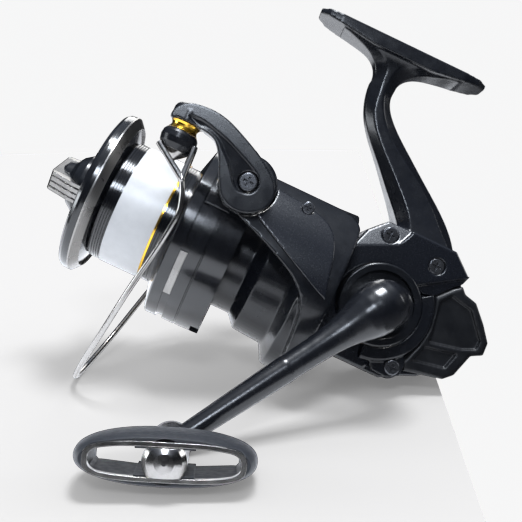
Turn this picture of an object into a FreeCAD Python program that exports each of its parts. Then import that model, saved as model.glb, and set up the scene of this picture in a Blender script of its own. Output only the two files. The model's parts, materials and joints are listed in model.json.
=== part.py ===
import FreeCAD, Part
import os
from math import sin, cos, tan, pi, sqrt, atan2, radians, degrees, acos
from FreeCAD import Vector as V, Rotation, Placement

# Spinning reel, millimetres.  +Z points out of the foot, the nose (spool) is
# -X, the tail +X, the handle is on -Y.  The origin is the centre of the foot's
# seat.  Everything is drawn about the main shaft (its axis is X, at z = 0)
# and dropped by H at the end.
os.makedirs("parts", exist_ok=True)

H = 100.5            # foot seat to main shaft axis
FOOT_L, FOOT_W = 70.0, 17.0
XH, ZH = 29.8, 5.0   # handle axis
PX, PZ = -31.2, 22.1 # bail pivot axis
SHAFT_R = 1.9
LIP_R, SKIRT_R, ARBOR_R = 31.6, 33.5, 23.2
STROKE_F, STROKE_R = 22.0, 8.0
N_DRIVE, N_PIN, N_WORM = 40, 9, 17
MOD = 0.72
RP = MOD * N_PIN / 2           # pinion pitch radius 3.24
RW = MOD * N_WORM / 2          # worm gear pitch radius 6.12
YW = (RP + RW) * cos(radians(220)) # worm shaft axis, beside the pinion
ZW = (RP + RW) * sin(radians(220))
RX, RYY, RZR = -58.8, -38.2, 0 # line roller axis (parallel to Z)
ARM_END = (-17.8, -64.5)       # knob axis, x and z
KNOB_TILT = 21.7

nodes = {}

def poly(pts):
    return Part.Wire(Part.makePolygon([V(*p) for p in pts] + [V(*pts[0])]))

def rev(pts, ax=(0, 0, 0), d='x'):
    # closed profile of (along, radius) turned about the axis through ax
    if d == 'x':
        w = poly([(a, 0, r) for a, r in pts]); dr = V(1, 0, 0)
    elif d == 'y':
        w = poly([(r, a, 0) for a, r in pts]); dr = V(0, 1, 0)
    else:
        w = poly([(r, 0, a) for a, r in pts]); dr = V(0, 0, 1)
    s = Part.Face(w).revolve(V(0, 0, 0), dr, 360)
    s.translate(V(*ax))
    return s

def cyl(p, d, r, l):
    return Part.makeCylinder(r, l, V(*p), V(*d))

def cx(x0, x1, r, y=0, z=0):
    return cyl((x0, y, z), (1, 0, 0), r, x1 - x0)

def cy(y0, y1, r, x=XH, z=ZH):
    return cyl((x, y0, z), (0, 1, 0), r, y1 - y0)

def cz(z0, z1, r, x, y):
    return cyl((x, y, z0), (0, 0, 1), r, z1 - z0)

def prism(pts, y0, y1):
    # outline in x,z pushed along y
    f = Part.Face(poly([(x, y0, z) for x, z in pts]))
    return f.extrude(V(0, y1 - y0, 0))

def bx(x0, x1, y0, y1, z0, z1):
    return Part.makeBox(x1 - x0, y1 - y0, z1 - z0, V(x0, y0, z0))

def fil(s, r, sel):
    es = [e for e in s.Edges if sel(e)]
    for k in (r, r * 0.7, r * 0.4):
        try:
            t = s.makeFillet(k, es)
            if t.isValid() and t.Volume > 0:
                return t
        except Exception:
            pass
    return s

def fuse(a, *o):
    s = a
    for t in o:
        s = s.fuse(t)
    try:
        s = s.removeSplitter()
    except Exception:
        pass
    return s

def put(name, s):
    nodes[name] = s

def at(e, c, tol=0.05):
    return e.CenterOfMass.distanceToPoint(V(*c)) < tol

def mir(s):
    return s.mirror(V(0, 0, 0), V(0, 1, 0))

def smooth_prism(pts, y0, y1, r0=0, r1=0):
    s = prism(pts, y0, y1)
    ya, yb = min(y0, y1), max(y0, y1)
    if r0:
        s = fil(s, r0, lambda e: abs(e.BoundBox.YMin - ya) < 1e-4 and abs(e.BoundBox.YMax - ya) < 1e-4)
    if r1:
        s = fil(s, r1, lambda e: abs(e.BoundBox.YMin - yb) < 1e-4 and abs(e.BoundBox.YMax - yb) < 1e-4)
    return s

def sprism(pts, y0, y1, r1=0):
    # smooth closed outline in x,z pushed along y; r1 rounds the rim at y1
    b = Part.BSplineCurve(); b.interpolate([V(x, y0, z) for x, z in pts], PeriodicFlag=True)
    s = Part.Face(Part.Wire(b.toShape())).extrude(V(0, y1 - y0, 0))
    if r1:
        s = fil(s, r1, lambda e: abs(e.BoundBox.YMin - y1) < 0.05 and abs(e.BoundBox.YMax - y1) < 0.05)
    return s

def screw(p, d, rh, hh, rs, ls):
    # pan head with a cross recess; p is under the head, d points into the metal
    d = V(*d); d.normalize(); p = V(*p)
    s = Part.makeCylinder(rh, hh, p - d * hh, d)
    s = fil(s, hh * 0.35, lambda e: (e.CenterOfMass - (p - d * hh)).Length < 0.05)
    s = s.fuse(Part.makeCylinder(rs, ls, p, d))
    rot = Rotation(V(0, 0, 1), d)
    for a in (0, 90):
        b = Part.makeBox(rh * 1.1, rh * 0.26, hh * 0.6, V(-rh * 0.55, -rh * 0.13, 0))
        b.rotate(V(0, 0, 0), V(0, 0, 1), a)
        b.Placement = Placement(p - d * hh, rot).multiply(b.Placement)
        s = s.cut(b)
    return s

def gear_wire(n, rp, ra, rf, tp, phase, x):
    # straight sided teeth; phase is the angle of a valley, from +Y to +Z
    pts = []
    for i in range(n):
        c = radians(phase + 360.0 / n * (i + 0.5))
        hr = (tp / 2 + (rp - rf) * 0.36) / rf
        hp = (tp / 2 - (ra - rp) * 0.36) / ra
        for rr, h in ((rf, -hr), (ra, -hp), (ra, hp), (rf, hr)):
            pts.append((x, rr * cos(c + h), rr * sin(c + h)))
    return poly(pts)

def route(points, r, closed_r=None):
    # straight runs joined by tangent arcs, swept with a round section
    P = [V(*p) for p in points]
    edges = []; last = P[0]; first_dir = (P[1] - P[0]).normalize()
    for i in range(1, len(P) - 1):
        a = (P[i - 1] - P[i]); b = (P[i + 1] - P[i])
        la, lb = a.Length, b.Length
        a.normalize(); b.normalize()
        ang = acos(max(-1, min(1, a.dot(b))))
        turn = pi - ang
        R = 0.45 * min(la, lb) / tan(turn / 2)
        t = 0.45 * min(la, lb)
        s, e = P[i] + a * t, P[i] + b * t
        bis = (a + b); bis.normalize()
        c = P[i] + bis * (R / cos(turn / 2))
        m = c - bis * R
        if (s - last).Length > 1e-6:
            edges.append(Part.LineSegment(last, s).toShape())
        edges.append(Part.Arc(s, m, e).toShape())
        last = e
    edges.append(Part.LineSegment(last, P[-1]).toShape())
    w = Part.Wire(edges)
    prof = Part.Wire(Part.makeCircle(r, P[0], first_dir))
    s = w.makePipeShell([prof], True, False)
    return s

# ------------------------------------------------------------------ frame ---
foot = prism([(-35, H), (35, H), (35, H - 2.0), (30, H - 2.9), (13, H - 5.4), (-11, H - 5.4), (-30, H - 2.9), (-35, H - 2.0)], -FOOT_W / 2, FOOT_W / 2)
plan = Part.Face(Part.Wire(Part.makePolygon([V(x, y, H - 8) for x, y in
    [(-35, -4), (-31.5, -7.6), (-26, -8.5), (26, -8.5), (31.5, -7.6), (35, -4), (35, 4), (31.5, 7.6), (26, 8.5), (-26, 8.5), (-31.5, 7.6), (-35, 4), (-35, -4)]]))).extrude(V(0, 0, 12))
foot = foot.common(plan)

def ell(x0, x1, z, hy):
    a, b = (x1 - x0) / 2.0, hy
    c = V((x0 + x1) / 2.0, 0, z)
    if a >= b:
        e = Part.Ellipse(V(c.x + a, c.y, c.z), V(c.x, c.y + b, c.z), c)
    else:
        e = Part.Ellipse(V(c.x, c.y + b, c.z), V(c.x - a, c.y, c.z), c)
    return Part.Wire(e.toShape())

# four point closed splines keep the same seam on every section
def sect(x0, x1, z, hy, n=12, sq=2.5):
    pts = []
    cxm, a = (x0 + x1) / 2.0, (x1 - x0) / 2.0
    for i in range(n):
        t = 2 * pi * i / n
        c, s = cos(t), sin(t)
        rr = (abs(c) ** sq + abs(s) ** sq) ** (-1.0 / sq)
        pts.append(V(cxm + a * rr * c, hy * rr * s, z))
    b = Part.BSplineCurve(); b.interpolate(pts, PeriodicFlag=True)
    return Part.Wire(b.toShape())

# faceted stem: front tip, side ridge and back edge at each height
def fsec(z, xf, xa, xb, xr, hy, fy=0.42, by=0.5):
    P = [(xf, -fy * hy), (xa, -hy), (xb, -hy), (xr, -by * hy), (xr, by * hy), (xb, hy), (xa, hy), (xf, fy * hy)]
    return poly([(x, y, z) for x, y in P])
STEM = [(31, 25.0, 31.5, 50, 54.6, 13.4, 0.8, 0.8), (38.4, 24.4, 29.4, 43.6, 48.2, 11.0, 0.6, 0.6), (47, 17.0, 22.8, 35.4, 40.8, 8.6, 0.5, 0.45), (56, 9.0, 13.6, 24.0, 29.4, 6.9, 0.45, 0.4),
        (63.1, 2.4, 6.4, 13.2, 20.2, 5.9, 0.42, 0.36), (69.2, -2.0, 1.6, 6.6, 12.4, 5.3, 0.42, 0.36), (76, -4.9, -1.0, 2.2, 5.8, 5.0, 0.42, 0.4), (83.2, -6.1, -1.9, 0.5, 4.0, 5.0, 0.42, 0.4)]
stem = Part.makeLoft([fsec(*q) for q in STEM], True, False)
flare = Part.makeLoft([fsec(*q) for q in [(83.0, -6.1, -1.9, 0.5, 4.0, 5.0), (87.9, -6.6, -2.2, 0.4, 5.0, 5.2, 0.5, 0.5), (91.2, -9.0, -3.4, 1.8, 8.0, 5.6, 0.6, 0.6), (93.4, -12.6, -6.5, 5.0, 12.6, 6.2, 0.7, 0.7), (94.8, -17.2, -11.5, 9.5, 17.6, 6.9, 0.8, 0.8), (96.2, -24.0, -18, 16, 25.0, 7.6, 0.9, 0.9)]], True, False)
stem = stem.fuse(flare)

YG, ZG = -10.9, -2.4          # guide rod
HOUSE = [(12.8, -13), (12.8, 22), (15.5, 29), (21.5, 35.2), (48.6, 35.2), (56.6, 28.4), (55.6, 24.6), (60.2, 20.6), (60.2, 2), (58.9, -8.4), (54.6, -12.6), (47, -15.8), (42, -19), (22, -19)]
INNER = [(12.6, -13.0), (12.6, 21), (16.8, 26.6), (23, 32.2), (47.4, 32.4), (53.6, 27.2), (53.0, 24.0), (57.9, 19.2), (57.9, 2.6), (56.9, -7.4), (53.6, -10.8), (45.8, -13.8), (41, -17.0), (21, -17.0)]
house = smooth_prism(HOUSE, -14.0, 17.0, 0, 4.5)
house = house.fuse(cx(8.6, 12.9, 18.6)).fuse(bx(12.0, 17.5, 11.0, 16.4, -9.5, 9.5))
neck = cx(-4.0, 8.8, 15.0)
body = fuse(house, neck, stem, foot)
cav = prism(INNER, -14.5, 14.6)
cav = cav.common(bx(12.6, 60, -15, 15, -30, 40))
body = body.cut(cav)
body = body.cut(cx(11.4, 13, 16.8).common(bx(11, 14, -14, 14.6, -13.2, 40)))
body = body.cut(cx(-5, 8.2, 12.5))            # clutch bore
body = body.cut(cx(8, 12, 6.5))               # pinion bearing seat
body = body.cut(cy(13, 20, 6.0))              # far bearing seat
SCREWS_A = [(23.7, 30.2), (43.8, 26.9)]
for x, z in SCREWS_A:
    body = fuse(body, cy(-14.0, 15.0, 3.0, x, z).common(prism(HOUSE, -14, 15)))
    body = body.cut(cy(-14.5, -5, 1.0, x, z))
lug = cy(-14, 12, 4.6, 43.6, -13.6)
body = fuse(body, lug); body = body.cut(cy(-14.5, -4, 1.0, 43.6, -13.6))
body = body.cut(cx(10.4, 12.7, 1.9, YW, ZW))  # worm bush seats
body = body.cut(cx(55, 58.85, 1.9, YW, ZW))
for k in (90, 210, 330):
    a = radians(k)
    body = body.cut(cx(-5, 2, 0.7, 13.75 * cos(a), 13.75 * sin(a)))
body = fuse(body, bx(16.2, 18.2, -13.2, -9.4, -18, -0.6))
body = body.cut(cx(15.9, 18.5, 2.7, YW, ZW)).cut(cx(15.9, 18.5, 1.0, YG, ZG)).cut(cx(55, 59, 1.0, YG, ZG)).cut(cx(53, 55.9, 2.6, YW, ZW))
body = max(body.Solids, key=lambda q: q.Volume)
put("body_frame", body)

# side cover: a thin plate over the whole side with a raised, bevelled upper part
COVER = [(13.0, -12.8), (13.0, 21.8), (15.7, 28.8), (21.7, 35.0), (48.4, 35.0), (56.4, 28.2), (55.4, 25.0), (59.9, 20.4), (59.9, 2), (58.6, -8.3), (54.4, -12.4), (46.9, -15.6), (41.9, -18.8), (22.2, -18.8)]
RAISE = [(13.0, -12.8), (13.0, 21.8), (15.7, 28.8), (21.7, 35.0), (48.4, 35.0), (56.4, 28.2), (55.6, 27.2), (37.5, 15.6), (30, -10), (35.6, -16.6), (34.4, -18.8), (22.2, -18.8)]
cover = smooth_prism(RAISE, -18.8, -14.05, 0.9, 0)
cover = cover.fuse(prism([(37.0, 18), (57.0, 29), (55.6, 25.2), (52.9, 22.6), (48.0, 16.8), (43.4, 15.6)], -17.3, -14.05)).fuse(prism(COVER, -15.5, -14.05))
# wide bevel above the upper front edge, facing up and forward
pa, pb, pc = V(15.2, -18.85, 22.1), V(25.5, -18.85, 26.9), V(21.7, -14.6, 35.2)
nn = (pb - pa).cross(pc - pa); nn.normalize()
if nn.y > 0: nn = nn * -1
half = Part.makeBox(120, 120, 60, V(-60, -60, 0)); half.Placement = Placement(pa, Rotation(V(0, 0, 1), nn))
ledge = prism([(0, 10), (0, 50), (30.6, 50), (30.6, 34), (29.0, 30.4), (27.2, 27.9), (25.6, 26.8), (24.0, 24)], -30, -10)
cover = cover.cut(half.common(ledge))
cover = cover.cut(cy(-20, -13, 15.3))
for x, z in SCREWS_A[:2]:
    cover = cover.cut(cy(-20, -13, 1.1, x, z)).cut(cy(-20, -16.2 if x < 30 else -17.0, 3.1, x, z))
cover = cover.cut(cy(-20, -13, 1.1, 43.6, -13.6))
# gear housing ring with its lower lug: the arc from the tail round to the bottom
ring = cy(-22.4, -17.35, 20.4)
ring = fil(ring, 1.2, lambda e: at(e, (XH, -22.4, ZH)))
lugp = [(33, -12.5), (37.5, -17.4), (43.0, -17.6), (47.2, -15.2), (47.6, -11.0), (45.0, -6.0)]
ring = fuse(ring, prism(lugp, -20.6, -17.35))
ring = ring.cut(cy(-23, -13, 15.6))
keepr = prism([(XH, ZH), (XH + 30, ZH + 20.6), (XH + 40, ZH - 10), (XH + 30, ZH - 40), (XH + 2, ZH - 40), (XH + 1.2, ZH - 16), (XH, ZH)], -30, -10)
ring = ring.common(keepr)
ring = ring.cut(cy(-23, -13, 1.1, 43.6, -13.6)).cut(cy(-23, -20.4, 2.9, 43.6, -13.6))
ring = max(ring.Solids, key=lambda q: q.Volume)
spacer = prism([(36, -14.5), (47.0, -15.2), (47.2, -9), (49.6, -2), (50.0, 5), (47.4, 14.6), (43.6, 15.4), (45.4, 4), (42, -6), (36, -10)], -17.35, -15.55).cut(cy(-23, -13, 15.6)).cut(cy(-23, -13, 1.1, 43.6, -13.6)).common(cy(-23, -13, 20.4).fuse(prism(lugp, -23, -13)))
ring = ring.fuse(spacer)
ring = max(ring.Solids, key=lambda q: q.Volume)
put("gear_housing_ring", ring)
cover = cover.cut(ring)
cover = max(cover.Solids, key=lambda q: q.Volume)
put("side_cover", cover)
# bearing plate behind the handle
plate = cy(-24.2, -14.05, 15.2)
plate = fil(plate, 0.8, lambda e: at(e, (XH, -24.2, ZH)))
plate = plate.cut(cy(-25, -22.0, 12.4).cut(cy(-25, -21.0, 8.6)))
plate = plate.cut(cy(-25, -13, 6.8))
plate = plate.fuse(cy(-14.05, -12.5, 9.0).cut(cy(-15, -12, 4.2)))
plate = plate.cut(cy(-15, -12, 4.2))
put("handle_bearing_plate", plate)
db = cy(-18.2, -14.1, 6.8).cut(cy(-19, -14, 3.15))
db2 = cy(13.0, 16.6, 6.0).cut(cy(12, 17, 3.15))
cap = cy(16.7, 19.6, 8.6)
cap = fil(cap, 1.0, lambda e: at(e, (XH, 19.6, ZH)))
cap = cap.cut(cy(15, 17.05, 8.7)).cut(cy(18.9, 20, 1.5, XH + 5.5, ZH)).cut(cy(18.9, 20, 1.5, XH - 5.5, ZH))
put("far_side_cap", cap)

# rear guard, wraps the tail
GUARD = [(52.0, 24.5), (58.6, 23.2), (64.2, 21.4), (74.0, 9.6), (73.2, 4.4), (69.2, 2.4), (66.6, -6.6), (63.2, -9.9), (53.0, -12.3), (47.5, -10.8), (46.5, -13.2)]
GUARD = [(55.9, 24.4), (58.0, 22.2), (62.9, 21.0), (68.6, 15.0), (72.9, 9.4), (73.1, 4.6), (69.0, 2.4), (66.2, -6.5), (63.0, -9.6), (54.9, -11.4), (47.4, -13.2), (46.0, -11.5), (47.5, -8.0), (49.5, -2.0), (50.6, 5.0), (49.8, 11.0), (48.0, 16.6), (53.0, 22.2)]
guard = smooth_prism(GUARD, -18.7, 18.6, 1.8, 3.0)
guard = guard.cut(prism([(12.8, -13), (12.8, 36), (56.65, 36), (56.65, 28.4), (55.65, 24.6), (60.25, 20.6), (60.25, 2), (58.95, -8.45), (54.63, -12.65), (47, -15.85), (42, -19.5)], -15.6, 17.05))
guard = guard.cut(nodes["side_cover"]).cut(nodes["gear_housing_ring"])
guard = guard.cut(cy(-19, 13, 4.9, 43.6, -13.6)).cut(cy(-30, -10, 20.45)).cut(prism([(37.0, 18), (57.0, 29), (55.62, 25.2), (52.92, 22.62), (48.0, 16.82), (43.4, 15.6)], -20, -14))
w1 = [(50.6, 15.6), (53.6, 19.6), (62.2, 17.8), (69.8, 8.8), (69.6, 5.4), (64.6, 3.2), (52.8, 0.6), (52.4, 5)]
w2 = [(52.0, -1.6), (63.9, 1.0), (61.9, -5.6), (49.8, -8.0)]
for w in (w1, w2):
    guard = guard.cut(prism(w, -19, -17.6)).cut(prism(w, 17.6, 19))
guard = max(guard.Solids, key=lambda q: q.Volume)
put("rear_guard", guard)
scr = [screw((x, -16.25 if x < 30 else -17.05, z), (0, 1, 0), 3.0, 1.4, 0.98, 9) for x, z in SCREWS_A[:2]]
scr.append(screw((43.6, -20.4, -13.6), (0, 1, 0), 2.8, 1.6, 0.98, 12))
nodes["rear_guard"] = nodes["rear_guard"].cut(cx(58, 66, 1.05, 0, 12)).cut(cx(66, 80, 2.6, 0, 12))
nodes["body_frame"] = nodes["body_frame"].cut(cx(58.5, 61, 1.05, 0, 12))
gscr = screw((66, 0, 12), (-1, 0, 0), 2.5, 1.4, 1.0, 7.2)

# pinion bearing and clutch
put("body_bearings", Part.makeCompound([db, db2, cx(8.3, 11.9, 6.5).cut(cx(8, 12, 3.56))]))
outer = cx(-1.9, 8.1, 12.5).cut(cx(-3, 9, 9.55))
for i in range(8):
    a = 2 * pi * (i + .5) / 8
    outer = outer.cut(cx(-3, 9, 1.2, 9.6 * cos(a), 9.6 * sin(a)))
put("clutch_outer_ring", outer)
put("clutch_rollers", Part.makeCompound([cx(-1.5, 7.6, 1.4, 8.1 * cos(2 * pi * i / 8), 8.1 * sin(2 * pi * i / 8)) for i in range(8)]))
ret = cx(-5.4, -4.0, 15.0).cut(cx(-6, 0, 7.2)).fuse(cx(-4.0, -1.95, 12.45).cut(cx(-5, 0, 7.2)))
for k in (90, 210, 330):
    a = radians(k); ret = ret.cut(cx(-6, 0, 0.8, 13.75 * cos(a), 13.75 * sin(a)).common(bx(-7, -3.9, -20, 20, -20, 20)))
put("clutch_retainer", ret)
put("body_screws", Part.makeCompound(scr + [gscr] + [screw((-5.4, 13.75 * cos(radians(k)), 13.75 * sin(radians(k))), (1, 0, 0), 1.5, 0.9, 0.68, 6.5) for k in (90, 210, 330)]))
# worm drive seats and guide rod
wb = cx(10.5, 12.6, 1.88, YW, ZW).cut(cx(10, 13, 1.25, YW, ZW))
wb2 = cx(56.9, 58.8, 1.88, YW, ZW).cut(cx(56, 60, 1.25, YW, ZW))
put("worm_bushes", Part.makeCompound([wb, wb2]))
put("guide_rod", cx(16.2, 58.9, 0.98, YG, ZG))
# ramp that trips the bail shut, on the front of the housing
ramp = prism([(8.6, 20.2), (11.4, 20.4), (12.75, 22.4), (12.75, 27.4), (10.6, 27.4)], 3.0, 11.0)
ramp = fuse(ramp.cut(cx(8, 13, 18.7)), bx(12.0, 12.75, 3, 11, 18.9, 22.4).cut(cx(8, 14, 18.7)))
put("bail_trip_ramp", ramp)

# ------------------------------------------------------------------ crank ---
g = cy(RP + 0.85, 7.4, 16.4)
g = g.cut(cy(6.2, 8, 12.4).cut(cy(6, 8.5, 6.5)))
g = g.fuse(cy(-18.6, 16.4, 3.1)).fuse(cy(7.0, 12.6, 5.2)).fuse(cy(RP + 0.8, 7.4, 6.4))
tooth = Part.Face(poly([(-16.1, RP - 0.6, -0.22), (-16.1, RP - 0.6, 0.22), (-16.1, RP + 0.9, 0.66), (-16.1, RP + 0.9, -0.66)])).extrude(V(3.2, 0, 0))
teeth = []
for i in range(N_DRIVE):
    t = tooth.copy(); t.translate(V(0, 0, -ZH))
    t.rotate(V(0, 0, 0), V(0, 1, 0), 360.0 / N_DRIVE * i); t.translate(V(XH, 0, ZH)); teeth.append(t)
g = g.fuse(teeth)
g = g.common(cy(-30, 30, 16.4))
for i in range(5):
    a = 2 * pi * i / 5
    g = g.cut(cy(3, 8, 2.4, XH + 9.4 * cos(a), ZH + 9.4 * sin(a)))
g = g.cut(cy(-2.7, 2.7, 4.0).cut(cy(-3, 3, 2.75)))
g = g.cut(cy(-19, 10, 1.95))
put("drive_gear", g)
A0 = V(XH - 2.6, -45.0, ZH - 1.2); A1 = V(ARM_END[0], -62.5, ARM_END[1])
dv = A1 - A0; LA = dv.Length
# round bulb that runs into a tapered bar
apr = [(-8.9, 0), (-8.2, 3.6), (-5.6, 7.0), (0, 8.9), (6.5, 8.5), (12.5, 6.7), (19, 5.3), (28, 4.6), (46, 4.2), (66, 3.6), (LA, 3.2)]
ab = Part.BSplineCurve(); ab.interpolate([V(p, 0, r) for p, r in apr], InitialTangent=V(0, 0, 1), FinalTangent=V(1, 0, -0.03))
pr = []
for i in range(31):
    q = ab.value(ab.FirstParameter + (ab.LastParameter - ab.FirstParameter) * (i / 30.0))
    pr.append((q.x, max(0.0, q.z)))
pr[0] = (pr[0][0], 0.0)
arm = rev(pr + [(LA, 0)])
arm.Placement = Placement(A0, Rotation(V(1, 0, 0), dv))
arm = arm.fuse(rev([(-68, 0), (-68, 5.4), (-65.5, 6.1), (-60, 6.7), (-57.4, 6.6), (-56.0, 5.8), (-55.4, 4.4), (-55.4, 0)], (ARM_END[0], 0, ARM_END[1]), 'y'))
arm = arm.fuse(rev([(-46, 0), (-46, 7.0), (-42, 7.8), (-38, 7.7), (-33, 7.0), (-28, 6.6), (-25.6, 6.9), (-24.9, 6.9), (-24.9, 0)], (XH, 0, ZH), 'y'))
arm = arm.fuse(cy(-25, -18.65, 4.0)).fuse(cy(-19, 8, 1.9))
arm = arm.cut(cy(-69, -58, 2.0, ARM_END[0], ARM_END[1])).cut(cy(-58.4, -54, 3.6, ARM_END[0], ARM_END[1]))
put("handle_arm", arm)
put("knob_shaft", fuse(cy(-90.0, -58.2, 2.0, *ARM_END), cy(-58.2, -57.0, 3.4, *ARM_END), cy(-69.4, -68.05, 3.4, *ARM_END)).cut(cy(-91, -80, 1.0, *ARM_END)))
put("knob_screw", screw((ARM_END[0], -90.0, ARM_END[1]), (0, 1, 0), 2.6, 1.2, 0.98, 9))

# ------------------------------------------------------------------- knob ---
def knob_frame(s):
    s.rotate(V(0, 0, 0), V(0, 1, 0), -KNOB_TILT)
    s.translate(V(ARM_END[0], 0, ARM_END[1]))
    return s

def stadium(hx, hz, n=28, p=2.6):
    out = []
    for i in range(n):
        t = 2 * pi * i / n
        c, s = cos(t), sin(t)
        rr = (abs(c) ** p + abs(s) ** p) ** (-1.0 / p)
        out.append((hx * rr * c, hz * rr * s))
    return out

def bsolid(hx, hz, y0, y1, p=2.3):
    b = Part.BSplineCurve(); b.interpolate([V(x, y0, z) for x, z in stadium(hx, hz, 24, p)], PeriodicFlag=True)
    return Part.Face(Part.Wire(b.toShape())).extrude(V(0, y1 - y0, 0))

def bwire(hx, hz, y, p=2.2):
    b = Part.BSplineCurve(); b.interpolate([V(x, y, z) for x, z in stadium(hx, hz, 24, p)], PeriodicFlag=True)
    return Part.Wire(b.toShape())
grip = Part.makeLoft([bwire(*q) for q in [(22.5, 6.0, -72.6), (25.4, 7.4, -75.6), (26.2, 7.9, -82), (25.6, 7.6, -88), (23.8, 6.6, -91.6)]], True, False)
WIN = [(8.4, -4.3), (20.4, -3.4), (21.2, -2.6), (21.2, 2.6), (20.4, 3.4), (8.4, 4.3)]
grip = grip.cut(cy(-93, -71.5, 6.4, 0, 0))
for m in (1, -1):
    grip = grip.cut(prism([(m * x, z) for x, z in WIN], -93, -71))
    grip = grip.cut(prism([(m * 5.2, -3.6), (m * 9.2, -3.6), (m * 9.2, 3.6), (m * 5.2, 3.6)], -93, -71))
rim = bsolid(22.8, 5.6, -93, -90.2, 3.4)
grip = grip.cut(rim.cut(bsolid(21.2, 4.2, -94, -90, 3.4)))
put("knob_grip", knob_frame(grip))
hub = cy(-91.0, -71.0, 6.35, 0, 0)
hub = fil(hub, 0.8, lambda e: abs(e.BoundBox.YMin - e.BoundBox.YMax) < 1e-4 and e.BoundBox.YMax > -71.5)
hub = hub.cut(cy(-92, -70, 2.6, 0, 0)).cut(cy(-92, -87, 4.2, 0, 0)).cut(cy(-73.6, -70, 4.0, 0, 0))
hub = hub.cut(bx(-8, 8, -92, -90.1, 4.1, 8)).cut(bx(-8, 8, -92, -90.1, -8, -4.1))
hub = max(hub.Solids, key=lambda q: q.Volume)
put("knob_hub", knob_frame(hub))
fr = bsolid(22.75, 5.55, -92.3, -90.25, 3.4).cut(bsolid(21.25, 4.25, -93, -89, 3.4))
put("knob_frame", knob_frame(fr))
kb = [cy(-73.5, -71.2, 3.98, 0, 0).cut(cy(-74, -70, 2.06, 0, 0)), cy(-89.4, -87.1, 3.98, 0, 0).cut(cy(-90, -86, 2.06, 0, 0))]
put("knob_bearings", knob_frame(Part.makeCompound(kb)))
dome = rev([(-91.05, 0), (-91.05, 6.4), (-92.2, 6.3), (-93.6, 5.0), (-94.4, 2.8), (-94.7, 0)], (0, 0, 0), 'y')
dome = dome.common(bx(-7, 7, -96, -90, -4.1, 4.1)).cut(cy(-92.4, -90, 3.2, 0, 0))
put("knob_cap", knob_frame(dome))

# ------------------------------------------------------------------ rotor ---
rot = rev([(-33, 18.8), (-33, 21), (-18, 21), (-14, 25.6), (-2.5, 26.4), (1, 33), (11.4, 33.6), (11.4, 30.5), (3.2, 28.6), (-0.6, 24.2), (-10, 23.6), (-10, 3.55), (-13, 3.55), (-13, 18.8)])
PLAN = [(-41, 17.5), (-41, 27), (-36.5, 32), (-28, 31.6), (-25, 29.3), (3.8, 29.3), (7.0, 28.7), (9.6, 27.2), (11.0, 25.2), (11.4, 22.6), (11.4, -18), (5.6, -27), (4.6, -18), (3.6, -10.6), (1.8, -6.0), (-0.8, -2.8), (-4.6, 0.2), (-9.8, 2.9), (-16.7, 6.0), (-24.1, 8.9), (-30.0, 11.0), (-36, 12.2)]
shell = cx(-42, 11.4, 41.4).cut(cx(-43, 12, 36.2))
na = prism(PLAN, -50, -20).common(shell)
nr = prism(PLAN, -50, -20).common(cx(1.5, 11.4, 41.4).cut(cx(0, 12, 31.5)))
# flat boss round the pivot
boss = cy(-38.0, -34.3, 10.2, PX, PZ)
boss = boss.cut(cx(-60, 0, 34.6))
na = fuse(na, nr, boss)
na = na.cut(cy(-41, -33, 1.6, PX, PZ))
trim = cy(-46, -38.0, 10.8, PX, PZ)
na = na.cut(trim)
# pocket for spring and lever under the cover
COV = [(-24.9, 14.4), (-22.4, 25.7), (-18.4, 25.4), (-12.0, 24.8), (-6.3, 23.9), (-2.6, 22.9), (0.0, 21.6), (2.3, 19.6), (3.9, 17.3), (5.1, 14.2), (6.0, 11.2), (7.4, 4.1), (9.2, -2.9), (5.6, -1.4), (-5.9, 4.2), (-14.5, 8.6), (-21.0, 12.0)]
CIN = [(-19.0, 14.0), (-18.0, 22.6), (-6.8, 21.4), (-1, 19), (1.8, 15.5), (3.6, 7), (4.6, 2.2), (-5.4, 7.4)]
na = na.cut(prism(CIN, -50, -20).common(cx(-42, 12, 45).cut(cx(-43, 12, 37.6))))
na = na.cut(cy(-45, -30, 1.0, -8.8, 23.8))
rotor = fuse(rot, na, mir(na))
put("rotor", rotor)
cov = prism(COV, -50, -20).common(cx(-42, 12, 42.6).cut(cx(-43, 13, 41.45)))
cov = cov.cut(trim).cut(cy(-50, -30, 10.7, PX, PZ)).cut(cy(-50, -30, 1.1, -8.8, 23.8))
put("arm_cover_near", cov)
sd = V(0, -sqrt(42.6 ** 2 - 23.8 ** 2), 23.8); sdn = V(0, sd.y, sd.z); sdn.normalize()
s1 = screw((-8.8, sd.y - 0.2, sd.z), (0, 1, 0), 2.2, 1.2, 0.95, 5.5)
cov2 = nodes["arm_cover_near"].cut(cy(-50, sd.y - 0.15, 2.25, -8.8, 23.8))
cov2 = cov2.cut(cy(sd.y - 1.6, sd.y + 8, 0.96, -8.8, 23.8))
nodes["arm_cover_near"] = cov2
s1 = s1.cut(nodes["arm_cover_near"]).cut(nodes["rotor"])
s1 = max(s1.Solids, key=lambda q: q.Volume)
put("arm_cover_screws", Part.makeCompound([s1, mir(s1)]))
cn = nodes.pop("arm_cover_near")
put("rotor_arm_covers", Part.makeCompound([cn, mir(cn)]))
pin = cx(-18.4, 18.6, 3.5)
pin = pin.cut(cx(12.2, 19, 5))
pin = pin.fuse(Part.Face(gear_wire(N_PIN, RP, RP + 0.70, RP - 0.76, 0.86, 0, 12.2)).extrude(V(6.4, 0, 0)))
pin = pin.cut(cx(-20, 20, SHAFT_R + 0.08))
put("pinion_gear", pin)
put("clutch_sleeve", cx(-9.9, 8.0, 6.65).cut(cx(-11, 9, 3.52)))
hexw = Part.Face(poly([(-18.0, 6.2 * cos(radians(60 * i)), 6.2 * sin(radians(60 * i))) for i in range(6)])).extrude(V(4.9, 0, 0))
put("rotor_nut", hexw.cut(cx(-20, -12, 3.52)))
spr = Part.makeHelix(1.9, 13.3, 1.5)
spr = Part.Wire(spr)
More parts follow.
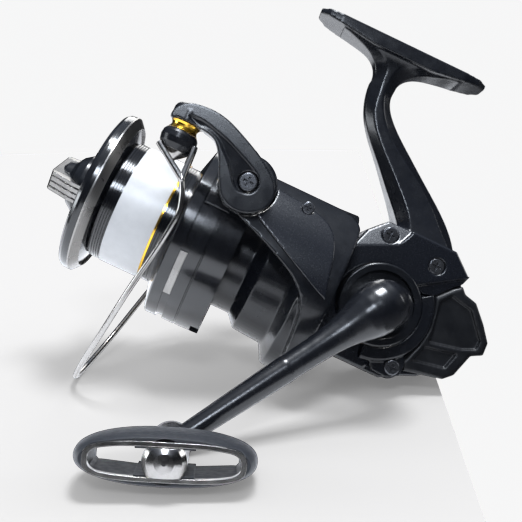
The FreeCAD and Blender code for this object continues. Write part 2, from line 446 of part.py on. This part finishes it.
hel = spr.makePipeShell([Part.Wire(Part.makeCircle(0.35, V(1.5, 0, 0), V(0, 1, 0)))], True, True)
hel.rotate(V(0, 0, 0), V(0, 1, 0), 90)
hel.translate(V(-16.5, -36.1, 16.07))
put("bail_spring", hel)
put("bail_pivot_screws", Part.makeCompound([
    fuse(cy(-42.6, -34.4, 1.55, PX, PZ), screw((PX, -42.2, PZ), (0, 1, 0), 3.2, 1.5, 1.2, 0.8)),
    mir(fuse(cy(-42.6, -34.4, 1.55, PX, PZ), screw((PX, -42.2, PZ), (0, 1, 0), 3.2, 1.5, 1.2, 0.8)))]))
# trip lever in the far arm: a bent rod that reaches back to the ramp
lev = fuse(bx(-16, -5.0, 35.4, 37.4, 14.2, 16.2), bx(-7.2, -5.0, 35.4, 37.4, 14.2, 18.4))
lev = lev.common(cx(-20, 5, 41.0))
put("trip_lever", lev)

# ------------------------------------------------------------------- bail ---
BA = [(-64.3, 31.6), (-63.9, 34.0), (-62.2, 36.4), (-59.4, 38.0), (-56.0, 38.7), (-51.1, 38.9), (-45.6, 37.9), (-39.5, 35.5), (-33.9, 32.9), (-29.1, 30.2), (-25.3, 27.5), (-22.4, 24.4), (-21.3, 21.0), (-21.8, 17.4), (-24.0, 14.3), (-27.2, 12.3), (-31.0, 11.5),
      (-34.9, 12.3), (-37.8, 14.4), (-39.8, 17.3), (-41.6, 20.8), (-43.3, 24.3), (-45.3, 27.6), (-47.4, 29.8), (-50.4, 30.9), (-54.2, 31.4), (-59.5, 31.5)]
ba = sprism(BA, -38.25, -44.2, 2.0)
head = cz(31.55, 38.0, 6.1, RX, RYY)
head = fil(head, 2.8, lambda e: at(e, (RX, RYY, 38.0)))
ba = fuse(ba, head)
ba = ba.cut(cz(20, 31.55, 6.8, RX, RYY))
# flat sloping facet from the roller end down to the pivot screw
FAC = [(-58.2, 33.9), (-54.2, 34.2), (-50.6, 33.6), (-44.1, 32.0), (-37.9, 29.6), (-32.0, 27.0), (-28.6, 24.6), (-27.6, 21.6), (-29, 18.8), (-33.6, 18.2), (-37.0, 21.4), (-39.6, 24.6), (-43.4, 28.2), (-47.0, 31.0), (-52.0, 32.2), (-56.6, 32.5)]
fc = sprism(FAC, -52, -43.95)
fc.rotate(V(-44.1, -43.95, 32.0), V(0.93, 0, -0.37), 7)
ba = ba.cut(fc)
ba = ba.cut(cy(-50, -42.2, 3.6, PX, PZ)).cut(cy(-50, -38, 1.62, PX, PZ))
ba = ba.cut(cz(20, 36.2, 1.5, RX, RYY))
ba = max(ba.Solids, key=lambda q: q.Volume)
put("bail_arm", ba)
hold = [(-37.8, 14.2), (-33.6, 12.0), (-28.4, 12.7), (-23.9, 17), (-22.2, 22.1), (-23.4, 27.0), (-27, 30.4), (-32, 31.6), (-37, 29.6), (-40.2, 24.4), (-40.4, 18.6)]
ho = sprism(hold, 38.25, 43.6, 1.4)
ho = ho.cut(cy(42.2, 50, 3.6, PX, PZ)).cut(cy(38, 50, 1.62, PX, PZ))
WIRE = [(-51.7, -44.2, 13.6), (-49.3, -44.3, 9.0), (-47.5, -44.0, 3.2), (-49.1, -41.6, -10.9), (-52.3, -37.2, -27.1), (-55.3, -28.5, -46.2), (-58.3, -15.8, -60.6), (-60.0, 0.0, -68.6),
        (-59.3, 15.8, -64.0), (-56.4, 28.5, -50.6), (-52.7, 37.2, -32.0), (-48.2, 41.2, -13.2), (-43.3, 41.6, 2.5), (-37.6, 41.2, 15.5)]
wire = route(WIRE, 0.95)
print("wire", wire.isValid(), round(wire.Volume, 1))
def rod(p, q, r):
    p, q = V(*p), V(*q)
    return Part.makeCylinder(r, (q - p).Length, p, q - p)
fork = [rod((-64.2, -41.4, 21.6), (-51.6, -44.2, 13.2), 1.1), rod((-52.6, -40.8, 25.2), (-51.6, -44.2, 13.2), 1.1), Part.makeSphere(1.25, V(-51.6, -44.2, 13.2))]
wire = wire.fuse(fork)
ho = ho.cut(wire)
ho = max(ho.Solids, key=lambda q: q.Volume)
put("bail_holder", ho)
capz = rev([(28.2, 1.5), (28.2, 5.5), (27.2, 6.2), (25.4, 6.5), (23.4, 6.1), (21.6, 5.0), (21.6, 1.5)], (RX, RYY, 0), 'z')
cone = rev([(21.55, 0), (21.55, 4.9), (18.2, 1.2), (17.8, 0)], (RX, RYY, 0), 'z')
put("roller_cap", capz)
put("bail_cone", cone)
wire = wire.cut(capz).cut(cone)
wire = max(wire.Solids, key=lambda q: q.Volume)
put("bail_wire", wire)
put("roller_pin", cz(21.6, 36.1, 1.48, RX, RYY).cut(cz(21, 22.4, 0.8, RX, RYY)))
put("line_roller", rev([(28.5, 1.56), (28.5, 5.3), (29.2, 4.8), (29.9, 4.6), (30.6, 4.8), (31.3, 5.3), (31.3, 1.56)], (RX, RYY, 0), 'z'))

# --------------------------------------------------- main shaft and worm ---
sh = cx(-91.5, 42.5, SHAFT_R).fuse(cx(42.4, 47.1, 1.2))
put("main_shaft", sh)
sl = cx(42.55, 46.9, 2.1).fuse(bx(42.55, 46.9, -2.0, 1.6, -3.4, 0))
sl = sl.fuse(bx(40.9, 46.9, -12.2, 1.6, -8.9, -2.6)).fuse(bx(40.9, 46.9, -12.2, -5.6, -3.0, -0.6))
sl = sl.cut(cx(39, 50, 1.22)).cut(cx(39, 42.55, 2.3)).cut(cx(38, 50, 2.75, YW, ZW)).cut(cx(38, 50, 1.05, YG, ZG))
pw = Part.makeCylinder(0.97, 3.4, V(44.7, YW + 2.62 * cos(radians(40)), ZW + 2.62 * sin(radians(40))), V(0, cos(radians(40)), sin(radians(40))))
pw = pw.cut(cx(38, 50, 1.6))
put("slider_pawl", pw)
put("oscillation_slider", sl.cut(pw))
ws = []
pr = [(10.7, 0), (10.7, 1.2), (12.9, 1.2), (12.9, 2.35)]
x = 17.0
while x < 52.0:
    pr += [(x, 2.35), (x + 0.5, 1.75), (x + 1.1, 1.75), (x + 1.6, 2.35)]
    x += 2.6
pr += [(55.4, 2.35), (55.4, 1.2), (58.7, 1.2), (58.7, 0)]
put("worm_shaft", rev(pr, (0, YW, ZW)))
wg = Part.Face(gear_wire(N_WORM, RW, RW + 0.66, RW - 0.76, 0.86, 40, 13.0)).extrude(V(2.2, 0, 0))
wg = wg.cut(cx(12, 16, 2.36)); wg.translate(V(0, YW, ZW))
put("worm_gear", wg)
sup = fuse(cx(-43.8, -41.2, 8.4), cx(-41.2, -36.2, 4.2)).cut(cx(-50, -30, SHAFT_R))
put("spool_support", sup)

# ------------------------------------------------------------------ spool ---
sp = rev([(-81.4, 12.5), (-81.4, 28.4), (-77.6, 28.4), (-75.6, 22.2), (-74.9, 22.2), (-74.9, ARBOR_R), (-50, ARBOR_R), (-47.3, 32.7), (-46.7, SKIRT_R), (-42.6, SKIRT_R), (-42.6, 32.5),
          (-39.8, 32.5), (-39.8, SKIRT_R), (-35.2, SKIRT_R), (-35.0, 33.1), (-34.6, 33.1), (-34.4, SKIRT_R), (-25.4, 33.2), (-25.4, 31.2), (-45, 31.2), (-48, 20.5), (-60, 20.5), (-60, 9), (-46, 9), (-46, 5.6), (-74, 5.6), (-74, 12.5)])
for i in range(4):
    x = -74.2 + i * 0.95
    sp = sp.cut(rev([(x, 22.7), (x, 24), (x + 0.35, 24), (x + 0.35, 22.7)]))
for i in range(3):
    x = -53.4 + i * 1.0
    sp = sp.cut(rev([(x, 22.7), (x, 24), (x + 0.35, 24), (x + 0.35, 22.7)]))
sp = sp.cut(rev([(-70.6, 22.6), (-70.6, 24), (-54.9, 24), (-54.9, 22.6)])).cut(rev([(-54.9, 22.4), (-54.9, 24), (-54.1, 24), (-54.1, 22.4)]))
# bevelled notches in the skirt's tail edge
for k in range(0, 360, 120):
    b = bx(-28.6, -24, -5.2, 5.2, 30, 35); b.rotate(V(0, 0, 0), V(1, 0, 0), k + 168)
    sp = sp.cut(b)
put("spool_body", sp)
put("spool_band", rev([(-70.55, 22.62), (-70.55, 23.45), (-54.95, 23.45), (-54.95, 22.62)]))
put("spool_gold_ring", rev([(-54.88, 22.42), (-54.88, 23.7), (-54.12, 23.7), (-54.12, 22.42)]))
put("lip_ring", rev([(-79.7, 28.45), (-79.7, LIP_R), (-79.1, LIP_R), (-78.2, 30.6), (-76.4, 28.5), (-77.55, 28.45)]))
put("spool_front_ring", rev([(-83.6, 14.0), (-83.9, 16), (-83.9, 28.8), (-83.3, 30.4), (-82.2, 31.3), (-81.2, 31.5), (-79.75, 31.5), (-79.75, 28.5), (-81.45, 28.5), (-81.45, 12.6), (-82.6, 12.6)]))
inlay = rev([(-42.55, 32.52), (-42.55, 33.3), (-39.85, 33.3), (-39.85, 32.52)])
keep = None
for a0, da in ((-136.0, 31.5), (-16.0, 31.5), (104.0, 31.5)):
    wdg = Part.makeCylinder(40, 6, V(-44, 0, 0), V(1, 0, 0), da)
    wdg.rotate(V(0, 0, 0), V(1, 0, 0), a0)
    keep = wdg if keep is None else keep.fuse(wdg)
put("skirt_inlays", Part.makeCompound(inlay.common(keep).Solids))
clip = fuse(bx(-42.3, -33.0, -2.2, 2.2, 33.2, 34.4), bx(-42.3, -40.4, -2.2, 2.2, 32.6, 33.3))
clip = fil(clip, 0.5, lambda e: e.BoundBox.ZMin > 34.3)
clip.rotate(V(0, 0, 0), V(1, 0, 0), 68)
nodes["skirt_inlays"] = Part.makeCompound(nodes["skirt_inlays"].cut(clip).Solids)
nodes["spool_body"] = nodes["spool_body"].cut(clip)
put("line_clip", clip)
put("spool_bearings", Part.makeCompound([cx(-73.9, -70.4, 5.58).cut(cx(-80, -60, 1.96)), cx(-52.0, -48.4, 5.58).cut(cx(-60, -40, 1.96))]))
cg = Part.Face(gear_wire(32, 8.2, 8.7, 7.8, 0.8, 0, -45.95)).extrude(V(1.4, 0, 0)).cut(cx(-50, -40, 2.4))
put("click_gear", cg)
put("drag_washers", Part.makeCompound([cx(-75.2 - 1.12 * i, -74.15 - 1.12 * i, 12.2).cut(cx(-90, -70, 2.3)) for i in range(5)]))
put("drag_retainer", cx(-81.1, -80.3, 12.45).cut(cx(-82, -80, 10.6)).cut(bx(-82, -80, -2.5, 2.5, 5, 14)))

# -------------------------------------------------------------- drag knob ---
kn = rev([(-81.9, 7.0), (-81.9, 11.4), (-85.0, 12.0), (-88.6, 11.6), (-91.6, 9.4), (-93.6, 6.6), (-96.2, 5.8), (-97.6, 3.6), (-98.0, 0), (-92.4, 0), (-92.4, 2.2), (-88.6, 2.2), (-88.6, 7.0)])
kn = max(kn.Solids, key=lambda q: q.Volume)
bb = Part.Face(poly([(-99.4, -8.2, 0), (-98.6, -9.6, 0), (-90.4, -11.6, 0), (-87.0, -11.9, 0), (-87.0, 11.9, 0), (-90.4, 11.6, 0), (-98.6, 9.6, 0), (-99.4, 8.2, 0)])).extrude(V(0, 0, 7.4))
bb.translate(V(0, 0, -3.7))
for s in (-1, 1):
    for q in (-2.2, 0, 2.2):
        bb = bb.cut(bx(-98.8, -86, min(s * 13, s * 9.0), max(s * 13, s * 9.0), q - 0.35, q + 0.35).common(bb).cut(
            Part.Face(poly([(-99.4, -7.6, -9), (-98.6, -9.0, -9), (-90.4, -11.0, -9), (-86.0, -11.3, -9), (-86.0, 11.3, -9), (-90.4, 11.0, -9), (-98.6, 9.0, -9), (-99.4, 7.6, -9)])).extrude(V(0, 0, 18))))
bb.rotate(V(0, 0, 0), V(1, 0, 0), 27)
solidk = rev([(-81.9, 0), (-81.9, 11.4), (-85.0, 12.0), (-88.6, 11.6), (-91.6, 9.4), (-93.6, 6.6), (-96.2, 5.8), (-97.6, 3.6), (-98.0, 0)])
bb = bb.cut(solidk)
core = bx(-101, -80, -8.1, 8.1, -9, 9); core.rotate(V(0, 0, 0), V(1, 0, 0), 27)
gap = bx(-101, -80, -8.15, 8.15, -9, 9); gap.rotate(V(0, 0, 0), V(1, 0, 0), 27)
kn = kn.fuse(bb.common(core)).removeSplitter()
kn = max(kn.Solids, key=lambda q: q.Volume)
bb = bb.cut(gap)
bb = Part.makeCompound(sorted(bb.Solids, key=lambda q: -q.Volume)[:2])
put("drag_knob", kn)
put("drag_knob_bar", bb)
put("drag_nut", Part.Face(poly([(-88.5, 6.4 * cos(radians(60 * i)), 6.4 * sin(radians(60 * i))) for i in range(6)])).extrude(V(3.2, 0, 0)).cut(cx(-90, -80, 1.96)))
sp2 = Part.Wire(Part.makeHelix(1.15, 2.8, 4.6))
h2 = sp2.makePipeShell([Part.Wire(Part.makeCircle(0.35, V(4.6, 0, 0), V(0, 1, 0)))], True, True)
h2.rotate(V(0, 0, 0), V(0, 1, 0), 90); h2.translate(V(-84.9, 0, 0))
put("drag_spring", h2)

bad = 0
for n in sorted(nodes):
    s = nodes[n]
    s = s.copy(); s.translate(V(0, 0, -H))
    b = s.BoundBox
    ok = s.isValid() and all(q.isValid() for q in s.Solids) and len(s.Solids) > 0
    if not ok: bad += 1
    print("%-22s solids %2d vol %9.1f  [%.1f %.1f %.1f]-[%.1f %.1f %.1f] %s" % (n, len(s.Solids), s.Volume, b.XMin, b.YMin, b.ZMin, b.XMax, b.YMax, b.ZMax, "" if ok else "BAD"))
    s.exportStep("parts/%s.step" % n)
print(len(nodes), "nodes, bad", bad)
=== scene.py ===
import bpy, bmesh, json, math
from mathutils import Vector, Matrix

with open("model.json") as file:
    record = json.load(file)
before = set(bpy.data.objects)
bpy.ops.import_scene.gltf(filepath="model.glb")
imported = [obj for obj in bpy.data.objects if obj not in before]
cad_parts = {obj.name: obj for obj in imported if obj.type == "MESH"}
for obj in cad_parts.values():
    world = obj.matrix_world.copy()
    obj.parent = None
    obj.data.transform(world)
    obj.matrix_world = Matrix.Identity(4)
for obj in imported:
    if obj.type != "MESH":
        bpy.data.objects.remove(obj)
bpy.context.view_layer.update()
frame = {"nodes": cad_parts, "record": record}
H = 0.1005
MM = 0.001
scene = bpy.context.scene

# ------------------------------------------------------------- materials ---
def node_mat(name):
    m = bpy.data.materials.new(name)
    m.use_nodes = True
    nt = m.node_tree
    b = nt.nodes.get("Principled BSDF")
    return m, nt, b

def noise(nt, scale, detail=3.0, rough=0.55, vec=None, dist=0.0):
    n = nt.nodes.new("ShaderNodeTexNoise")
    n.inputs["Scale"].default_value = scale
    n.inputs["Detail"].default_value = detail
    n.inputs["Roughness"].default_value = rough
    n.inputs["Distortion"].default_value = dist
    if vec is None:
        tc = nt.nodes.new("ShaderNodeTexCoord")
        vec = tc.outputs["Object"]
    nt.links.new(vec, n.inputs["Vector"])
    return n.outputs["Fac"]

def ramp(nt, fac, a, b, lo=0.3, hi=0.7):
    r = nt.nodes.new("ShaderNodeValToRGB")
    r.color_ramp.elements[0].position = lo
    r.color_ramp.elements[1].position = hi
    r.color_ramp.elements[0].color = (a[0], a[1], a[2], 1)
    r.color_ramp.elements[1].color = (b[0], b[1], b[2], 1)
    nt.links.new(fac, r.inputs["Fac"])
    return r.outputs["Color"]

def maprange(nt, fac, lo, hi, f0=0.3, f1=0.7):
    r = nt.nodes.new("ShaderNodeMapRange")
    r.inputs["From Min"].default_value = f0
    r.inputs["From Max"].default_value = f1
    r.inputs["To Min"].default_value = lo
    r.inputs["To Max"].default_value = hi
    nt.links.new(fac, r.inputs["Value"])
    return r.outputs["Result"]

def add_bump(nt, b, height, strength, dist, bevel=0.0):
    bp = nt.nodes.new("ShaderNodeBump")
    bp.inputs["Strength"].default_value = strength
    bp.inputs["Distance"].default_value = dist
    nt.links.new(height, bp.inputs["Height"])
    if bevel:
        bv = nt.nodes.new("ShaderNodeBevel")
        bv.samples = 4
        bv.inputs["Radius"].default_value = bevel
        nt.links.new(bv.outputs["Normal"], bp.inputs["Normal"])
    nt.links.new(bp.outputs["Normal"], b.inputs["Normal"])

def finish_mat(name, c0, c1, rough, metal, grain=900, fine=6000, bump=0.15, bdist=0.00004, coat=0.0, coat_r=0.2, spec=0.5, bevel=0.0003, ring=None, sheen=0.0, dust=0.0):
    m, nt, b = node_mat(name)
    vec = None
    if ring is not None:
        # machined about the X axis: the pattern depends on x and radius only
        tc = nt.nodes.new("ShaderNodeTexCoord")
        mp = nt.nodes.new("ShaderNodeVectorMath"); mp.operation = "ADD"
        mp.inputs[1].default_value = (0, 0, H)
        nt.links.new(tc.outputs["Object"], mp.inputs[0])
        sx = nt.nodes.new("ShaderNodeSeparateXYZ"); nt.links.new(mp.outputs[0], sx.inputs[0])
        cyz = nt.nodes.new("ShaderNodeCombineXYZ")
        nt.links.new(sx.outputs["Y"], cyz.inputs["Y"]); nt.links.new(sx.outputs["Z"], cyz.inputs["Z"])
        ln = nt.nodes.new("ShaderNodeVectorMath"); ln.operation = "LENGTH"
        nt.links.new(cyz.outputs[0], ln.inputs[0])
        cc = nt.nodes.new("ShaderNodeCombineXYZ")
        nt.links.new(sx.outputs["X"], cc.inputs["X"]); nt.links.new(ln.outputs["Value"], cc.inputs["Y"])
        vec = cc.outputs[0]
    g = noise(nt, grain, 4.0, 0.6, vec)
    nt.links.new(ramp(nt, g, c0, c1), b.inputs["Base Color"])
    rn = noise(nt, grain * 0.22, 3.0, 0.5)
    nt.links.new(maprange(nt, rn, max(0.02, rough * 0.82), min(1.0, rough * 1.2)), b.inputs["Roughness"])
    b.inputs["Metallic"].default_value = metal
    b.inputs["Specular IOR Level"].default_value = spec
    b.inputs["Coat Weight"].default_value = coat
    b.inputs["Coat Roughness"].default_value = coat_r
    b.inputs["Sheen Weight"].default_value = sheen
    f = noise(nt, ring if ring else fine, 2.0, 0.5, vec)
    add_bump(nt, b, f, bump, bdist, bevel)
    return m

M = {
    "body_black": finish_mat("body_black", (0.0030, 0.0035, 0.0050), (0.0052, 0.0060, 0.0085), 0.25, 0.0, 900, 9000, 0.16, 0.000008, coat=0.0, spec=0.42),
    "cover_gloss": finish_mat("cover_gloss", (0.0034, 0.0040, 0.0062), (0.0056, 0.0068, 0.0105), 0.24, 0.0, 9000, 9000, 0.14, 0.000008, coat=0.20, coat_r=0.20, spec=0.55),
    "arm_gloss": finish_mat("arm_gloss", (0.0030, 0.0034, 0.0048), (0.0050, 0.0058, 0.0080), 0.25, 0.0, 900, 7000, 0.10, 0.000004, coat=0.12, coat_r=0.22, spec=0.48),
    "guard_plastic": finish_mat("guard_plastic", (0.0028, 0.0031, 0.0040), (0.0050, 0.0056, 0.0072), 0.38, 0.0, 900, 4500, 0.25, 0.00001, spec=0.34),
    "rotor_black": finish_mat("rotor_black", (0.0028, 0.0032, 0.0045), (0.0048, 0.0056, 0.0078), 0.24, 0.0, 900, 8000, 0.14, 0.000006, coat=0.12, coat_r=0.18, spec=0.42),
    "screw_black": finish_mat("screw_black", (0.075, 0.077, 0.085), (0.120, 0.123, 0.132), 0.24, 0.85, 2500, 6000, 0.15, 0.00001, bevel=0.0002),
    "steel": finish_mat("steel", (0.40, 0.395, 0.39), (0.50, 0.495, 0.485), 0.30, 1.0, 1500, 8000, 0.10, 0.000005),
    "brass": finish_mat("brass", (0.50, 0.34, 0.12), (0.66, 0.47, 0.20), 0.30, 1.0, 1200, 8000, 0.15, 0.00001),
    "chrome": finish_mat("chrome", (0.34, 0.328, 0.315), (0.40, 0.387, 0.372), 0.19, 1.0, 900, 4000, 0.04, 0.000002, bevel=0.0002),
    "gold": finish_mat("gold", (0.80, 0.46, 0.05), (0.92, 0.56, 0.08), 0.18, 1.0, 900, 4000, 0.04, 0.000003, bevel=0.0001),
    "spool_black": finish_mat("spool_black", (0.0032, 0.0036, 0.0046), (0.0056, 0.0062, 0.0080), 0.17, 0.0, 2000, 5000, 0.06, 0.000006, coat=0.4, coat_r=0.10, ring=7000, spec=0.5),
    "white_band": finish_mat("white_band", (0.46, 0.465, 0.47), (0.50, 0.505, 0.51), 0.34, 0.0, 300, 4000, 0.05, 0.000004, bevel=0.0001),
    "grip_rubber": finish_mat("grip_rubber", (0.0085, 0.0100, 0.0140), (0.0140, 0.0165, 0.0220), 0.50, 0.0, 2500, 11000, 0.35, 0.00003, sheen=0.05, bevel=0.0004),
    "washer": finish_mat("washer", (0.05, 0.045, 0.04), (0.10, 0.09, 0.08), 0.9, 0.0, 1500, 5000, 0.5, 0.0001),
    "plastic_black": finish_mat("plastic_black", (0.0030, 0.0035, 0.0048), (0.0056, 0.0064, 0.0084), 0.24, 0.0, 900, 6000, 0.10, 0.00001, spec=0.45, bevel=0.0004),
    "silver_bar": finish_mat("silver_bar", (0.24, 0.232, 0.222), (0.32, 0.31, 0.298), 0.30, 1.0, 1200, 6000, 0.08, 0.000008, ring=9000),
}
slots = {s["node"]: s["material_slot"] for s in frame["record"]["subparts"]}
for n, o in frame["nodes"].items():
    o.data.materials.clear()
    o.data.materials.append(M[slots[n]])

def soften(node, voxel, iters, factor=0.5):
    o = frame["nodes"][node]
    m = o.modifiers.new("remesh", "REMESH")
    m.mode = "VOXEL"; m.voxel_size = voxel; m.use_smooth_shade = True
    q = o.modifiers.new("smooth", "SMOOTH"); q.factor = factor; q.iterations = iters
for n, v, it in (("body_frame", 0.00042, 4), ("side_cover", 0.00030, 4), ("rear_guard", 0.00036, 4), ("rotor", 0.00042, 4), ("bail_arm", 0.00022, 8), ("handle_arm", 0.00032, 12),
                 ("gear_housing_ring", 0.00026, 4), ("rotor_arm_covers", 0.00028, 3)):
    soften(n, v, it)

# ---------------------------------------------------------------- camera ---
cam = bpy.data.cameras.new("camera")
cam_ob = bpy.data.objects.new("camera", cam)
scene.collection.objects.link(cam_ob)
right = Vector((0.90404463, -0.04729835, 0.42481309))
down = Vector((0.42661005, 0.03801198, -0.90363652))
fwd = Vector((0.02659252, 0.99815728, 0.05454248))
mat = Matrix.Identity(4)
for i in range(3):
    mat[i][0] = right[i]; mat[i][1] = -down[i]; mat[i][2] = -fwd[i]
mat.translation = Vector((-0.023876, -0.337317, -0.116703))
cam_ob.matrix_world = mat
cam.sensor_width = 36.0
cam.lens = 880.0 / 522.0 * 36.0
cam.clip_start = 0.01
scene.camera = cam_ob

# ----------------------------------------------------------------- stage ---
up = Vector((-0.417, -0.256, 0.872)).normalized()
p0 = Vector((-0.060, 0.0, -0.1712))
def plane_basis(n):
    a = n.cross(Vector((0, 1, 0))).normalized()
    return a, n.cross(a).normalized()
a, b = plane_basis(up)
bm = bmesh.new()
ctr = Vector((0.0, -0.02, 0.0)); ctr = ctr - up * ((ctr - p0).dot(up))
vs = [bm.verts.new(ctr + (a * math.cos(2 * math.pi * i / 64) + b * math.sin(2 * math.pi * i / 64)) * 0.9) for i in range(64)]
f = bm.faces.new(vs)
bm.normal_update()
if f.normal.dot(up) < 0:
    f.normal_flip()
# the floor stops short of the tail, so a low view from behind is not covered by it
bmesh.ops.bisect_plane(bm, geom=bm.verts[:] + bm.edges[:] + bm.faces[:], plane_co=(0.066, 0, 0), plane_no=(1, 0, 0), clear_outer=True)
me = bpy.data.meshes.new("floor"); bm.to_mesh(me); bm.free()
floor = bpy.data.objects.new("floor", me); scene.collection.objects.link(floor)
floor.is_shadow_catcher = True
fm, nt, bs = node_mat("floor")
fn = noise(nt, 30, 2.0)
nt.links.new(ramp(nt, fn, (0.86, 0.86, 0.87), (0.90, 0.90, 0.91)), bs.inputs["Base Color"])
bs.inputs["Roughness"].default_value = 0.6
me.materials.append(fm)

w = bpy.data.worlds.new("world"); scene.world = w
w.use_nodes = True
nt = w.node_tree
bg = nt.nodes["Background"]
lp = nt.nodes.new("ShaderNodeLightPath")
bgc = nt.nodes.new("ShaderNodeBackground"); bgg = nt.nodes.new("ShaderNodeBackground")
bg.inputs["Color"].default_value = (0.90, 0.93, 1.0, 1); bg.inputs["Strength"].default_value = 0.62
bgc.inputs["Color"].default_value = (0.925, 0.925, 0.928, 1); bgc.inputs["Strength"].default_value = 1.0
# what polished surfaces see: pale low down, dark at eye level, a broad soft light above
tc = nt.nodes.new("ShaderNodeTexCoord")
dt = nt.nodes.new("ShaderNodeVectorMath"); dt.operation = "DOT_PRODUCT"
dt.inputs[1].default_value = (-0.417, -0.256, 0.872)
nt.links.new(tc.outputs["Generated"], dt.inputs[0])
cr = nt.nodes.new("ShaderNodeValToRGB")
mr = nt.nodes.new("ShaderNodeMapRange"); mr.inputs["From Min"].default_value = -1; mr.inputs["From Max"].default_value = 1
nt.links.new(dt.outputs["Value"], mr.inputs["Value"]); nt.links.new(mr.outputs["Result"], cr.inputs["Fac"])
el = cr.color_ramp.elements
el[0].position = 0.0; el[0].color = (0.30, 0.31, 0.33, 1)
el[1].position = 1.0; el[1].color = (0.55, 0.60, 0.70, 1)
for p, c in ((0.34, (0.10, 0.105, 0.12)), (0.48, (0.012, 0.013, 0.015)), (0.72, (0.014, 0.016, 0.020)), (0.85, (0.20, 0.23, 0.29))):
    e = el.new(p); e.color = (c[0], c[1], c[2], 1)
nt.links.new(cr.outputs["Color"], bgg.inputs["Color"]); bgg.inputs["Strength"].default_value = 1.0
m1 = nt.nodes.new("ShaderNodeMixShader"); m2 = nt.nodes.new("ShaderNodeMixShader")
nt.links.new(lp.outputs["Is Glossy Ray"], m1.inputs["Fac"]); nt.links.new(bg.outputs[0], m1.inputs[1]); nt.links.new(bgg.outputs[0], m1.inputs[2])
nt.links.new(lp.outputs["Is Camera Ray"], m2.inputs["Fac"]); nt.links.new(m1.outputs[0], m2.inputs[1]); nt.links.new(bgc.outputs[0], m2.inputs[2])
nt.links.new(m2.outputs[0], nt.nodes["World Output"].inputs["Surface"])
scene.view_settings.view_transform = "Standard"
scene.view_settings.look = "None"

def area(name, loc, target, size, power, color=(1, 1, 1), sy=None):
    l = bpy.data.lights.new(name, "AREA")
    l.energy = power; l.color = color
    l.shape = "RECTANGLE"; l.size = size; l.size_y = sy or size
    o = bpy.data.objects.new(name, l); scene.collection.objects.link(o)
    o.location = loc
    d = (Vector(target) - Vector(loc)).normalized()
    o.rotation_euler = d.to_track_quat("-Z", "Y").to_euler()
    return o
c0 = Vector((0, 0, -0.09))
u3 = -down; r3 = right; f3 = fwd
area("key_top", c0 + u3 * 0.62 - f3 * 0.22 + r3 * 0.05, c0, 0.26, 5.2, (0.86, 0.92, 1.0), 0.16)
area("front_soft", c0 - f3 * 0.66 + u3 * 0.30 - r3 * 0.02, c0, 0.12, 1.7, (0.80, 0.88, 1.0))
area("left_soft", c0 - r3 * 0.60 + u3 * 0.10 - f3 * 0.10, c0, 0.20, 1.1, (0.90, 0.95, 1.0))
area("right_soft", c0 + r3 * 0.62 + u3 * 0.20 - f3 * 0.05, c0, 0.20, 0.6, (0.95, 0.97, 1.0))
area("back_rim", c0 + f3 * 0.50 + u3 * 0.45, c0, 0.30, 1.0)

# soft fill that lifts the floor and casts no shadow
fl = bpy.data.lights.new("fill", "SUN")
fl.energy = 1.5
fl.specular_factor = 0.0
fl.use_shadow = False
fo = bpy.data.objects.new("fill", fl); scene.collection.objects.link(fo)
fo.rotation_euler = (-up).to_track_quat("-Z", "Y").to_euler()
